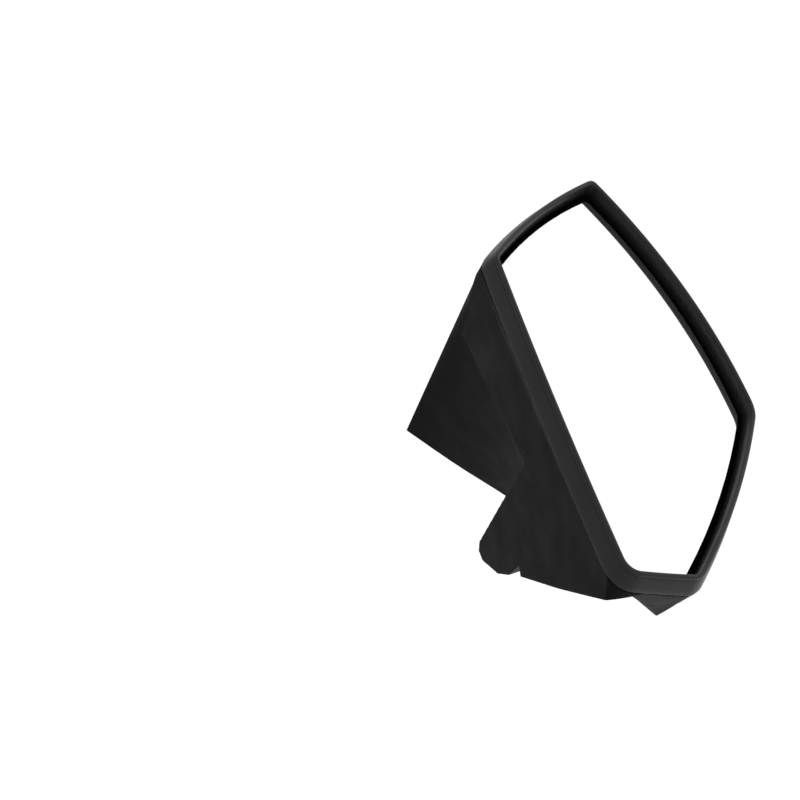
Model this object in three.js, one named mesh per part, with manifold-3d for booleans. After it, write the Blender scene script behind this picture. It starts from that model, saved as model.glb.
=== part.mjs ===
// Car side mirror head: a five-sided bezel ring, a two-piece housing with a pocket for the door arm,
// and a tilting glass with its two-motor drive. Millimetres. The ring faces -Y, +X is outboard, +Z is up.
import * as THREE from 'three';
import { mergeVertices } from 'three/addons/utils/BufferGeometryUtils.js';
import Module from 'manifold-3d';

const wasm = await Module();
wasm.setup();

// ---- driving dimensions -------------------------------------------------------------------------
const GAP = 0.3;                       // clearance between touching pieces
const WALL = 2.6;                      // housing wall
const PAST = 1;                        // how far a cutter runs past the face that it cuts
const RING = [                         // front outline of the ring: corner, round length, bulge to the next
  { x: -42.9, z: 100.4, round: 6.1, bulge: 8.9 },
  { x: 122.3, z: 100.8, round: 7.5, bulge: 3.6 },
  { x: 196.6, z: 0.6, round: 5, bulge: 0.2 },
  { x: 181.5, z: -38.5, round: 9, bulge: 1.4 },
  { x: -4.5, z: 2.5, round: 5, bulge: 3.7 },
];
const SIDES = RING.length;
const [TOP, OUTBOARD, TIP, BOTTOM] = [0, 1, 2, 3];      // the ring's sides in order
const SEAM_Y = 10.8;                   // depth of the band, where the housing starts
const FLARE = 3.2;                     // how far the band flares out from rim to seam
const SPIGOT_Y = 12.5;                 // end of the ring's spigot inside the housing
const MOUTH_Y = SEAM_Y + GAP + WALL + 0.1;             // depth of the housing's straight mouth
const BEZEL_SECTION = [                // (inset, depth) points of the ring, from the rim inwards and back
  [0, 1.2], [0.8, 0], [2.2, 0], [2.9, 0.8], [3.1, SPIGOT_Y], [-0.2, SPIGOT_Y], [-0.2, SEAM_Y],
  [-FLARE, SEAM_Y],
];

const FAR_EDGE = [                     // upper edge of the thin far end, inboard to outboard tip
  [-21, 202, 52], [12, 199, 68.5], [58.5, 182.5, 81], [102, 152.5, 69], [151, 97, 37], [190, 54, 11],
];
const FAR_THICK_IN = 10;               // thickness of the far end, inboard and at the tip
const FAR_THICK_TIP = 7;
const FAR_LEAN_X = 5;                  // how far the far end's lower edge is set in from its upper one
const FAR_LEAN_Y = 9;
const FAR_SHARE = 0.72;                // share of the far edge that faces the ring's top side
const FOLD_AT = 0.35;                  // where the fold to the tip starts on the ring's outboard side
const LOFT_ROWS = 9;
const FAR_SLOT = { from: 0.02, to: 0.17, outer: -1.4, inner: -6, bottom: 0.55 };

// plane of the lower face, which falls outboard and rises to the back
const ARM_FACE = { x: 0.7, y: SEAM_Y, z: -2.2, slopeX: -0.215, slopeY: 0.262 };
const CREASE = [[-5.5, 67], [92, 52]];   // near wall of the arm pocket
const LEG = [[92, 40], [84.5, 155], [87.5, 161.5], [94, 161], [110, 145.5], [127, 114], [127, 40]];
const LEG_NOTCH = [[116, 142], [122, 110], [128, 115], [140, 132]];
const ARM_BODY = [[-6, SEAM_Y + GAP], CREASE[0], CREASE[1], [127, 114], [155, 70], [190, SEAM_Y + GAP]];
const PRISM_LOW = -90;                   // the housing's plan cutters run between these heights
const PRISM_HIGH = 130;

const PANEL_STEP = 4.2;                // how proud the panel stands of the flange
const PANEL_RISE = 0.3;                // share of the way back over which the panel rises to that
const PANEL_EDGE = [[-70, 162], [-25.7, 149.3], [13, 138.8], [58, 126.8], [68.6, 121.3], [78, 112.7],
  [83.5, 106], [90.9, 93.4], [110.6, 62.1], [133.2, 32.2], [144.8, 19]];

const SEAT_DEPTH = 2.2;
const PAD = { margin: 4, thick: 3.6, below: 2.6 };   // wall kept round and under a fixing seat
const FIXINGS = [                      // a sunken seat with an oblong hole, each on its own axis
  { name: 'upper', at: [3.6, 162.5, 71.6], axis: [-0.35, 0.26, 1], seat: [34, 26], hole: [15.5, 10.8] },
  { name: 'lower', at: [139.6, 69.4, 57.6], axis: [0.99, 0.41, 1], seat: [33, 29], hole: [15.5, 10.8] },
];
const SLEEVE = { rim: 5, length: 6 };
const CLIPS = [
  { x: 16, y: 133.8, floor: 81, width: 8, length: 10, turn: -0.12 },
  { x: 84.3, y: 92.5, floor: 82, width: 10, length: 25, turn: -0.16 },
];

const PIVOT = { x: 82, y: 23.6, z: 35 }; // where the two tilt axes cross
const TILT_ARM = 17.5;                 // plunger distances from the pivot
const TURN_ARM = 20.5;
const GLASS = { front: 8.2, back: 10.4, inset: 6.5 };
const HEATER = { front: 10.7, back: 11.3, inset: 13 };
const CARRIER = { front: 11.6, back: 14, inset: 9.1 };
const CASE = { halfX: 32, low: -22, high: 28, front: 29.6, split: 32.6, back: 49.8, wall: 2 };
const DRIVE_Y = 39.6;                   // plane of the gears and motors
const FRAME_FEET = [[-24, 38], [12, 38]];
const ARM_SEAT = [89, 105, 28];        // where the door arm is fastened to the leg's inner wall

// ---- solids and booleans ------------------------------------------------------------------------
function solid(geometry) {
  const bare = geometry.index ? geometry.toNonIndexed() : geometry.clone();
  for (const name of Object.keys(bare.attributes)) {
    if (name !== 'position') bare.deleteAttribute(name);
  }
  const merged = mergeVertices(bare, 1e-4);
  const position = merged.attributes.position.array;
  const index = merged.index.array;
  const kept = [];
  for (let i = 0; i < index.length; i += 3) {
    const [a, b, c] = [index[i], index[i + 1], index[i + 2]];
    if (a !== b && b !== c && c !== a) kept.push(a, b, c);
  }
  if (signedVolume(position, kept) < 0) {
    for (let i = 0; i < kept.length; i += 3) [kept[i], kept[i + 1]] = [kept[i + 1], kept[i]];
  }
  const mesh = new wasm.Mesh({
    numProp: 3, vertProperties: new Float32Array(position), triVerts: new Uint32Array(kept),
  });
  return new wasm.Manifold(mesh);
}

function signedVolume(p, index) {
  let sum = 0;
  for (let i = 0; i < index.length; i += 3) {
    const [a, b, c] = [index[i] * 3, index[i + 1] * 3, index[i + 2] * 3];
    sum += p[a] * (p[b + 1] * p[c + 2] - p[b + 2] * p[c + 1])
      - p[a + 1] * (p[b] * p[c + 2] - p[b + 2] * p[c])
      + p[a + 2] * (p[b] * p[c + 1] - p[b + 1] * p[c]);
  }
  return sum;
}

function meshSolid(points, index) {
  const geometry = new THREE.BufferGeometry();
  geometry.setAttribute('position', new THREE.BufferAttribute(new Float32Array(points.flat()), 3));
  geometry.setIndex(index);
  return solid(geometry);
}

function geometryOf(manifold) {
  const mesh = manifold.getMesh();
  const geometry = new THREE.BufferGeometry();
  const points = new Float32Array(mesh.vertProperties.length / mesh.numProp * 3);
  for (let i = 0, j = 0; i < mesh.vertProperties.length; i += mesh.numProp, j += 3) {
    points.set(mesh.vertProperties.subarray(i, i + 3), j);
  }
  geometry.setAttribute('position', new THREE.BufferAttribute(points, 3));
  geometry.setIndex(new THREE.BufferAttribute(new Uint32Array(mesh.triVerts), 1));
  return geometry;
}

const placed = (geometry, x, y, z) => solid(geometry.clone().translate(x, y, z));
const box = (x0, x1, y0, y1, z0, z1) =>
  placed(new THREE.BoxGeometry(x1 - x0, y1 - y0, z1 - z0), (x0 + x1) / 2, (y0 + y1) / 2, (z0 + z1) / 2);

const COARSE = 12;                     // sides of small, medium and large round pieces
const MEDIUM = 20;
const FINE = 32;

// a cylinder along an axis; at holds its two other coordinates in order
function rod(axis, radius, from, to, at, sides = MEDIUM) {
  const geometry = new THREE.CylinderGeometry(radius, radius, to - from, sides);
  if (axis === 'x') geometry.rotateZ(-Math.PI / 2);
  if (axis === 'z') geometry.rotateX(Math.PI / 2);
  const mid = (from + to) / 2;
  const place = { x: [mid, at[0], at[1]], y: [at[0], mid, at[1]], z: [at[0], at[1], mid] }[axis];
  return placed(geometry, ...place);
}

const tube = (axis, outer, inner, from, to, at, sides = MEDIUM) =>
  rod(axis, outer, from, to, at, sides).subtract(rod(axis, inner, from - PAST, to + PAST, at, sides));

// a prism with its outline in the XY plane
function planPrism(outline, z0 = PRISM_LOW, z1 = PRISM_HIGH) {
  const shape = new THREE.Shape(outline.map(([x, y]) => new THREE.Vector2(x, y)));
  const geometry = new THREE.ExtrudeGeometry(shape, { depth: z1 - z0, bevelEnabled: false });
  return solid(geometry.translate(0, 0, z0));
}

const towards = (axis) => new THREE.Quaternion().setFromUnitVectors(
  new THREE.Vector3(0, 0, 1), new THREE.Vector3(...axis).normalize());

// geometry made along Z, turned to an axis and moved to a point
const alongAxis = (geometry, at, axis) => placed(geometry.clone().applyQuaternion(towards(axis)), ...at);

// everything on the side of a plane that its normal points to
function halfSpace(point, normal) {
  const size = 600;
  return alongAxis(new THREE.BoxGeometry(size, size, size).translate(0, 0, size / 2), point, normal);
}

// a closed solid through a list of closed loops; the last one may come with its own end triangles
function loft(loops, endTriangles) {
  const count = loops[0].length;
  const points = loops.flat();
  const index = [];
  for (let row = 0; row + 1 < loops.length; row += 1) {
    for (let k = 0; k < count; k += 1) {
      const [a, b] = [row * count + k, row * count + (k + 1) % count];
      index.push(a, b, a + count, b, b + count, a + count);
    }
  }
  const last = (loops.length - 1) * count;
  const first = points.push(loopCentre(loops[0])) - 1;
  for (let k = 0; k < count; k += 1) index.push(first, (k + 1) % count, k);
  if (endTriangles) {
    for (const corners of endTriangles) index.push(...corners.map((k) => last + k));
  } else {
    const centre = points.push(loopCentre(loops[loops.length - 1])) - 1;
    for (let k = 0; k < count; k += 1) index.push(centre, last + k, last + (k + 1) % count);
  }
  return meshSolid(points, index);
}

function loopCentre(loop) {
  return [0, 1, 2].map((i) => loop.reduce((sum, p) => sum + p[i], 0) / loop.length);
}

const between = (a, b, t) => a.map((value, i) => value + (b[i] - value) * t);

// ---- the ring's outline -------------------------------------------------------------------------
const CORNER_STEPS = 6;
const EDGE_STEPS = 8;
const LEAST_RADIUS = 2.5;               // of an inset corner
const CORNER_HANDLE = 0.6;

const after = (i) => (i + 1) % SIDES;
const before = (i) => (i + SIDES - 1) % SIDES;

// the sides of the outline moved in by an inset, each as a curve that bulges outwards
function ringSides(inset) {
  const corners = RING.map((c) => new THREE.Vector2(c.x, c.z));
  const lines = corners.map((corner, i) => {
    const along = corners[after(i)].clone().sub(corner).normalize();
    const out = new THREE.Vector2(-along.y, along.x);
    return { along, out, start: corner.clone().addScaledVector(out, -inset) };
  });
  const meets = lines.map((line, i) => {
    const last = lines[before(i)];
    const reach = line.start.clone().sub(last.start).cross(line.along) / last.along.cross(line.along);
    return last.start.clone().addScaledVector(last.along, reach);
  });
  const cuts = lines.map((line, i) => {
    const half = Math.tan((Math.PI - lines[before(i)].along.angleTo(line.along)) / 2);
    return Math.max(RING[i].round * half - inset, LEAST_RADIUS) / half;
  });
  return lines.map((line, i) => {
    const start = meets[i].clone().addScaledVector(line.along, cuts[i]);
    const end = meets[after(i)].clone().addScaledVector(line.along, -cuts[after(i)]);
    const middle = start.clone().add(end).multiplyScalar(0.5).addScaledVector(line.out, 2 * RING[i].bulge);
    return { curve: new THREE.QuadraticBezierCurve(start, middle, end), cut: cuts[after(i)] };
  });
}

// points of the ring outline, each with the side that it belongs to and its place along that side
function ringOutline(inset) {
  const sides = ringSides(inset);
  const points = [];
  sides.forEach((side, i) => {
    const next = sides[after(i)];
    for (let k = 0; k < EDGE_STEPS; k += 1) points.push({ p: side.curve.getPoint(k / EDGE_STEPS), side: i });
    const [from, to] = [side.curve.getPoint(1), next.curve.getPoint(0)];
    const handle = side.cut * CORNER_HANDLE;
    const bend = new THREE.CubicBezierCurve(
      from, from.clone().addScaledVector(side.curve.getTangent(1), handle),
      to.clone().addScaledVector(next.curve.getTangent(0), -handle), to);
    for (let k = 0; k < CORNER_STEPS; k += 1) {
      points.push({ p: bend.getPoint(k / CORNER_STEPS), side: k < CORNER_STEPS / 2 ? i : after(i) });
    }
  });
  const n = points.length;
  const outline = points.map((_, k) => points[(k + n - CORNER_STEPS / 2) % n]);
  for (let side = 0; side < SIDES; side += 1) placeAlong(outline, side);
  return outline;
}

function placeAlong(outline, side) {
  const run = outline.filter((q) => q.side === side);
  const next = outline[(outline.indexOf(run[run.length - 1]) + 1) % outline.length];
  let length = 0;
  run.forEach((q, k) => {
    if (k) length += q.p.distanceTo(run[k - 1].p);
    q.along = length;
  });
  const total = length + next.p.distanceTo(run[run.length - 1].p);
  run.forEach((q) => { q.along /= total; });
}

const OUTLINE = ringOutline(0);
const ringLoop = (inset, y) => ringOutline(inset).map((q) => [q.p.x, y, q.p.y]);

// a closed section of (inset, depth) points carried round the ring outline
function sweptRing(section) {
  const rows = section.map(([inset, y]) => ringLoop(inset, y));
  const count = OUTLINE.length;
  const index = [];
  for (let r = 0; r < rows.length; r += 1) {
    const next = (r + 1) % rows.length;
    for (let k = 0; k < count; k += 1) {
      const [a, b] = [r * count + k, r * count + (k + 1) % count];
      const [c, d] = [next * count + k, next * count + (k + 1) % count];
      index.push(a, b, c, b, d, c);
    }
  }
  return meshSolid(rows.flat(), index);
}

const ringPlate = (inset, y0, y1) => loft([ringLoop(inset, y0), ringLoop(inset, y1)]);

// ---- the housing's far end ----------------------------------------------------------------------
const FAR_CURVE = new THREE.CatmullRomCurve3(FAR_EDGE.map((p) => new THREE.Vector3(...p)));
const SKIN_IN = { x: 1.4, y: 1.3 };      // how far an inset moves the far end's edge inwards

// a point of the far end: t runs along the edge, drop runs from its upper (0) to its lower side (1)
function farPoint(t, drop, inset) {
  const at = FAR_CURVE.getPointAt(Math.min(Math.max(t, 0), 1));
  const thick = FAR_THICK_IN + (FAR_THICK_TIP - FAR_THICK_IN) * t - 2 * inset;
  return [
    at.x + inset * SKIN_IN.x * (1 - 2 * t) + FAR_LEAN_X * drop * (1 - t),
    at.y - inset * SKIN_IN.y - FAR_LEAN_Y * drop,
    at.z - inset - drop * thick,
  ];
}

// place along the far edge of an outline point
function farPlace({ side, along }) {
  if (side === TOP) return along * FAR_SHARE;
  if (side === OUTBOARD) return FAR_SHARE + Math.min(along / FOLD_AT, 1) * (1 - FAR_SHARE);
  if (side === TIP) return 1;
  return side === BOTTOM ? 1 - along : 0;
}

function farDrop({ side, along }) {
  if (side === TOP || side === OUTBOARD) return 0;
  if (side === TIP) return along;
  return side === BOTTOM ? 1 : 1 - along;
}

const farLoop = (inset) => OUTLINE.map((q) => farPoint(farPlace(q), farDrop(q), inset));

// triangles of the thin end face, zipped between its upper and its lower edge
function endTriangles() {
  const ofSide = (wanted) => OUTLINE.flatMap((q, k) => (wanted.includes(q.side) ? [k] : []));
  const upper = ofSide([TOP, OUTBOARD]);
  const tip = ofSide([TIP]);
  const lower = ofSide([BOTTOM]).reverse();
  const butt = ofSide([SIDES - 1]);
  const top = [...upper, tip[0]];
  const bottom = [butt[0], ...lower];
  const placeOf = (k) => farPlace(OUTLINE[k]);
  const triangles = [];
  let [i, j] = [0, 0];
  while (i + 1 < top.length || j + 1 < bottom.length) {
    const bottomDone = j + 1 >= bottom.length;
    if (bottomDone || (i + 1 < top.length && placeOf(top[i + 1]) <= placeOf(bottom[j + 1]))) {
      triangles.push([top[i], top[i + 1], bottom[j]]);
      i += 1;
    } else {
      triangles.push([top[i], bottom[j + 1], bottom[j]]);
      j += 1;
    }
  }
  for (const fan of [[...tip, lower[lower.length - 1]], [...butt, upper[0]]]) {
    for (let k = 1; k + 1 < fan.length; k += 1) triangles.push([fan[0], fan[k], fan[k + 1]]);
  }
  return triangles;
}

// a solid from the seam to the far end; lift raises the upper side as a share of the way
function housingLoft(seamInset, seamY, farInset, lift = () => 0) {
  const near = ringLoop(seamInset, seamY);
  const far = farLoop(farInset);
  const loops = [];
  for (let row = 0; row < LOFT_ROWS; row += 1) {
    const v = row / (LOFT_ROWS - 1);
    loops.push(near.map((p, k) => {
      const [x, y, z] = between(p, far[k], v);
      return [x, y, z + (OUTLINE[k].side <= OUTBOARD ? lift(v) : 0)];
    }));
  }
  return loft(loops, endTriangles());
}

// ---- the housing --------------------------------------------------------------------------------
const armFaceZ = (x, y) => ARM_FACE.z + ARM_FACE.slopeX * (x - ARM_FACE.x)
  + ARM_FACE.slopeY * (y - ARM_FACE.y);
const belowArmFace = (lift) => halfSpace(
  [ARM_FACE.x, ARM_FACE.y, ARM_FACE.z + lift], [ARM_FACE.slopeX, ARM_FACE.slopeY, -1]);

// the parting surface runs from just above the ring's lower edge to the middle of the far end
const PARTING = {
  columns: 15, rows: 7, from: -0.1, to: 1.2, nearIn: [-45, 7], nearOut: [245, -5], spread: 60, floor: -120,
};

// everything under the parting surface
function underParting(shift) {
  const { columns, rows, from, to, nearIn, nearOut, spread, floor } = PARTING;
  const top = [];
  for (let r = 0; r < rows; r += 1) {
    for (let c = 0; c < columns; c += 1) {
      const t = c / (columns - 1);
      const [x, z] = between(nearIn, nearOut, t);
      const far = farPoint(t, 0.5, 0);
      far[0] += (t - 0.5) * spread;
      const p = between([x, SEAM_Y, z], far, from + (to - from) * r / (rows - 1));
      top.push([p[0], p[1], p[2] + shift]);
    }
  }
  return heightBlock(top, rows, columns, floor);
}

// the block between a grid of points and a level floor
function heightBlock(top, rows, columns, floor) {
  const total = top.length;
  const points = [...top, ...top.map(([x, y]) => [x, y, floor])];
  const index = [];
  const quad = (a, b, c, d) => index.push(a, b, c, a, c, d);
  const wall = (a, b) => quad(total + a, total + b, b, a);
  const at = (r, c) => r * columns + c;
  for (let r = 0; r + 1 < rows; r += 1) {
    for (let c = 0; c + 1 < columns; c += 1) {
      quad(at(r, c), at(r, c + 1), at(r + 1, c + 1), at(r + 1, c));
      quad(total + at(r, c), total + at(r + 1, c), total + at(r + 1, c + 1), total + at(r, c + 1));
    }
    wall(at(r + 1, 0), at(r, 0));
    wall(at(r, columns - 1), at(r + 1, columns - 1));
  }
  for (let c = 0; c + 1 < columns; c += 1) {
    wall(at(0, c), at(0, c + 1));
    wall(at(rows - 1, c + 1), at(rows - 1, c));
  }
  return meshSolid(points, index);
}

const SHARPEST = 0.35;                   // limits how far a sharp corner moves when an outline is inset

function insetOutline(outline, by) {
  const n = outline.length;
  const area = outline.reduce((sum, [x, y], k) => {
    const [u, w] = outline[(k + 1) % n];
    return sum + x * w - u * y;
  }, 0);
  const reach = Math.sign(area) * by;
  return outline.map(([x, y], k) => {
    const [a, b] = [outline[(k + n - 1) % n], outline[(k + 1) % n]];
    const u = new THREE.Vector2(x - a[0], y - a[1]).normalize();
    const w = new THREE.Vector2(b[0] - x, b[1] - y).normalize();
    const bend = Math.max(1 + u.dot(w), SHARPEST);
    return [x - reach * (u.y + w.y) / bend, y + reach * (u.x + w.x) / bend];
  });
}

// the body behind the lower face, and the leg beside the arm pocket
function armBody(inset) {
  return planPrism(insetOutline(ARM_BODY, inset))
    .add(planPrism(insetOutline(LEG, inset)))
    .subtract(planPrism(insetOutline(LEG_NOTCH, -inset)))
    .subtract(belowArmFace(inset))
    .intersect(ringPlate(inset - FLARE, SEAM_Y + GAP - inset, FAR_EDGE[0][1]));
}

const panelPrism = () => planPrism([...PANEL_EDGE, [PANEL_EDGE[PANEL_EDGE.length - 1][0], 0], [-70, 0]], 20);
const liftedPanel = (v) => PANEL_STEP * THREE.MathUtils.smoothstep(v, 0, PANEL_RISE);

// an oblong bar along Z, its long way along Y
function oblong(length, width, from, to) {
  const shape = new THREE.Shape();
  const [r, h] = [width / 2, (length - width) / 2];
  shape.absarc(0, h, r, 0, Math.PI, false);
  shape.absarc(0, -h, r, Math.PI, 2 * Math.PI, false);
  shape.closePath();
  const options = { depth: to - from, bevelEnabled: false, curveSegments: 10 };
  return new THREE.ExtrudeGeometry(shape, options).translate(0, 0, from);
}

function fixingCut({ at, axis, seat, hole }) {
  return alongAxis(oblong(...seat, -SEAT_DEPTH, 30), at, axis)
    .add(alongAxis(oblong(...hole, -14, 30), at, axis));
}

// the pad of wall left under a fixing seat
function fixingPad({ at, axis, seat }) {
  const low = -SEAT_DEPTH - PAD.below;
  return alongAxis(oblong(seat[0] + PAD.margin, seat[1] + PAD.margin, low, low + PAD.thick), at, axis);
}

function clipCut({ x, y, floor, width, length, turn }) {
  const height = 30;
  return placed(new THREE.BoxGeometry(width, length, height).rotateZ(turn), x, y, floor + height / 2);
}

function housingSolid() {
  const wing = housingLoft(-FLARE, SEAM_Y + GAP, 0);
  const panel = housingLoft(-FLARE, SEAM_Y + GAP, 0, liftedPanel).intersect(panelPrism());
  return wing.add(panel).add(armBody(0).intersect(underParting(0)));
}

function housingHollow() {
  const wing = housingLoft(WALL - FLARE, SEAM_Y - 2 * PAST, WALL);
  const mouth = ringPlate(WALL - FLARE, SEAM_Y - 2 * PAST, MOUTH_Y);
  const infront = halfSpace([0, SEAM_Y + PAST, 0], [0, -1, 0]);
  return wing.add(mouth).add(armBody(WALL).intersect(underParting(0)).subtract(infront));
}

// the slot in the top of the far end, at its inboard corner
function farSlot() {
  const { from, to, outer, inner, bottom } = FAR_SLOT;
  const corners = [[outer, -PAST], [outer, bottom], [inner, bottom], [inner, -PAST]];
  return loft([from, (from + to) / 2, to].map((t) => corners.map(([reach, drop]) => {
    const [x, y, z] = farPoint(t, 0, 0);
    return [x, y + reach, z - drop * FAR_THICK_IN];
  })));
}

function housing() {
  const whole = housingSolid();
  let shell = whole.subtract(housingHollow());
  for (const fixing of FIXINGS) shell = shell.add(fixingPad(fixing).intersect(whole));
  for (const fixing of FIXINGS) shell = shell.subtract(fixingCut(fixing));
  for (const clip of CLIPS) shell = shell.subtract(clipCut(clip));
  return shell.subtract(farSlot());
}

// ---- scene --------------------------------------------------------------------------------------
const head = new THREE.Group();
head.position.set(...ARM_SEAT).negate();
const materials = {
  shell: { color: 0x2b2b2d, roughness: 0.6, metalness: 0 },
  band: { color: 0x262627, roughness: 0.55, metalness: 0 },
  glass: { color: 0xf4f6f7, roughness: 0.03, metalness: 1 },
  black: { color: 0x1c1c1e, roughness: 0.6, metalness: 0 },
  foil: { color: 0xb5713c, roughness: 0.5, metalness: 0.2 },
  steel: { color: 0x9a9da1, roughness: 0.35, metalness: 1 },
  brass: { color: 0xb89b56, roughness: 0.35, metalness: 1 },
  white: { color: 0xd9d9d4, roughness: 0.5, metalness: 0 },
  grey: { color: 0x55585c, roughness: 0.6, metalness: 0 },
};

// adds a sub-part; crumbs that a cut leaves beside the body are dropped
function add(name, manifold, material) {
  const [body] = manifold.decompose().sort((a, b) => b.volume() - a.volume());
  const mesh = new THREE.Mesh(geometryOf(body), new THREE.MeshStandardMaterial(materials[material]));
  mesh.name = name;
  head.add(mesh);
}

function addShells() {
  const shell = housing();
  add('upper_shell', shell.subtract(underParting(GAP / 2)), 'shell');
  add('arm_side_shell', shell.intersect(underParting(-GAP / 2)), 'shell');
}

// coordinates measured from the pivot
const px = (u) => PIVOT.x + u;
const py = (v) => PIVOT.y + v;
const pz = (w) => PIVOT.z + w;

const TILT = { u: 0, w: TILT_ARM };      // place of each plunger beside the pivot
const TURN = { u: TURN_ARM, w: 0 };
const centre = [px(0), pz(0)];
const drivePlace = ({ u, w }) => [px(u), pz(w)];

const BALL = { radius: 2.9, depth: -4.8 };           // a plunger's ball, before the pivot's depth
const CUP = { outer: 5.2, inner: 3.9, to: -2 };      // the carrier's cup round the ball
const COLLAR = { outer: 12.5, inner: 10, to: 3 };    // the carrier's collar round the gimbal ring
const GIMBAL = { outer: 9, inner: 6.5, half: 2 };
const PIN = { radius: 1, bore: 1.3 };
const TILT_PIN = { from: 2.2, to: 8.6 };
const TURN_PIN = { from: 7, to: 12 };
const SCREW = { bore: 1.6, shank: 1.1, head: 2.6, headHeight: 1.6 };
const POST = { front: -5, radius: 4, foot: 4, footRadius: 6 };
const TERMINALS = [-40, -30];                         // places of the heater's two blades
const BLADE = { halfWidth: 3.2, low: -11.4, high: -10.6, length: 8, slack: 0.4 };

function addGlass() {
  add('mirror_glass', ringPlate(GLASS.inset, GLASS.front, GLASS.back), 'glass');
  add('heater_pad', ringPlate(HEATER.inset, HEATER.front, HEATER.back), 'foil');
  const root = CARRIER.front + PAST;
  let carrier = ringPlate(CARRIER.inset, CARRIER.front, CARRIER.back)
    .add(tube('y', COLLAR.outer, COLLAR.inner, root, py(COLLAR.to), centre, FINE));
  for (const arm of [TILT, TURN]) {
    carrier = carrier.add(tube('y', CUP.outer, CUP.inner, root, py(CUP.to), drivePlace(arm)));
  }
  for (const [from, to] of [[-14, -8], [8, 14]]) {
    carrier = carrier.subtract(rod('z', PIN.bore + 0.1, pz(from), pz(to), [px(0), PIVOT.y], COARSE));
  }
  TERMINALS.forEach((u, k) => {
    const [side, s] = [BLADE.halfWidth, BLADE.slack];
    carrier = carrier.subtract(box(px(u - side - s), px(u + side + s),
      CARRIER.front - PAST, CARRIER.back + PAST, pz(BLADE.low - s), pz(BLADE.high + s)));
    add(`heater_terminal_${k + 1}`, box(px(u - side), px(u + side),
      CARRIER.front, CARRIER.back + BLADE.length, pz(BLADE.low), pz(BLADE.high)), 'brass');
  });
  add('glass_carrier', carrier, 'black');
}

function addPivot() {
  const foot = CASE.front - GAP;
  let ring = tube('y', GIMBAL.outer, GIMBAL.inner, py(-GIMBAL.half), py(GIMBAL.half), centre, FINE);
  let post = rod('y', POST.radius, py(POST.front), foot, centre)
    .add(rod('y', POST.footRadius, py(POST.foot), foot, centre))
    .subtract(rod('y', SCREW.bore, py(POST.front) - PAST, foot + PAST, centre, COARSE))
    .subtract(rod('y', SCREW.head + GAP, py(POST.front) - PAST, py(POST.front) + SCREW.headHeight, centre));
  for (const [sign, side, level] of [[-1, 'left', 'lower'], [1, 'right', 'upper']]) {
    const span = (from, to) => [sign * from, sign * to].sort((a, b) => a - b);
    const [a, b] = span(TILT_PIN.from, TILT_PIN.to);
    const [boreA, boreB] = span(TILT_PIN.from - GAP, TILT_PIN.to + PAST);
    const bore = rod('x', PIN.bore, px(boreA), px(boreB), [PIVOT.y, pz(0)], COARSE);
    ring = ring.subtract(bore);
    post = post.subtract(bore);
    add(`tilt_pin_${side}`, rod('x', PIN.radius, px(a), px(b), [PIVOT.y, pz(0)], COARSE), 'steel');
    const [c, d] = span(TURN_PIN.from, TURN_PIN.to);
    const [boreC, boreD] = span(TURN_PIN.from - PAST, TURN_PIN.to + PAST);
    ring = ring.subtract(rod('z', PIN.bore, pz(boreC), pz(boreD), [px(0), PIVOT.y], COARSE));
    add(`turn_pin_${level}`, rod('z', PIN.radius, pz(c), pz(d), [px(0), PIVOT.y], COARSE), 'steel');
  }
  add('gimbal_ring', ring, 'white');
  add('pivot_post', post, 'grey');
  add('pivot_screw', rod('y', SCREW.shank, py(POST.front) + PAST, foot + 4, centre, COARSE)
    .add(rod('y', SCREW.head, py(POST.front), py(POST.front) + SCREW.headHeight - GAP, centre)), 'steel');
  addSpring();
}

class Helix extends THREE.Curve {
  constructor(radius, turns, y0, y1) {
    super();
    Object.assign(this, { radius, turns, y0, y1 });
  }

  getPoint(t, target = new THREE.Vector3()) {
    const angle = t * this.turns * 2 * Math.PI;
    return target.set(px(this.radius * Math.cos(angle)), this.y0 + (this.y1 - this.y0) * t,
      pz(this.radius * Math.sin(angle)));
  }
}

const SPRING = { radius: 5, wire: 0.35, turns: 2, from: 1.7, to: 3.5 };

function addSpring() {
  const wire = new THREE.Shape();
  wire.absarc(0, 0, SPRING.wire, 0, 2 * Math.PI, false);
  const path = new Helix(SPRING.radius, SPRING.turns, py(SPRING.from), py(SPRING.to));
  const geometry = new THREE.ExtrudeGeometry(wire, {
    steps: 32, curveSegments: 4, extrudePath: path, bevelEnabled: false,
  });
  add('pivot_spring', solid(geometry), 'steel');
}

const LUGS = [[-27, 23], [27, 23], [-27, -17]];
const LUG_RADIUS = 3.2;
const PLUNGER_HOLE = 3.1;

function addActuator() {
  const { halfX, low, high, front, split, back, wall } = CASE;
  const across = (radius, at, sides) => rod('y', radius, front - PAST, split + PAST, at, sides);
  let cover = box(px(-halfX), px(halfX), front, split, pz(low), pz(high))
    .subtract(across(SCREW.bore, centre, COARSE));
  for (const arm of [TILT, TURN]) cover = cover.subtract(across(PLUNGER_HOLE, drivePlace(arm)));
  let base = box(px(-halfX), px(halfX), split + GAP, back, pz(low), pz(high)).subtract(
    box(px(wall - halfX), px(halfX - wall), split - PAST, back - wall, pz(low + wall), pz(high - wall)));
  LUGS.forEach(([u, w], k) => {
    const at = [px(u), pz(w)];
    base = base.add(rod('y', LUG_RADIUS, split + GAP, back - PAST, at, COARSE))
      .subtract(rod('y', SCREW.bore - 0.2, split - PAST, back - 3, at, COARSE));
    cover = cover.subtract(across(SCREW.bore, at, COARSE));
    add(`cover_screw_${k + 1}`, rod('y', SCREW.shank, front - PAST, back - 5, at, COARSE)
      .add(rod('y', SCREW.head, front - GAP - SCREW.headHeight, front - GAP, at)), 'steel');
  });
  add('actuator_cover', cover, 'grey');
  add('actuator_base', base, 'grey');
  addDrives();
}

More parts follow.
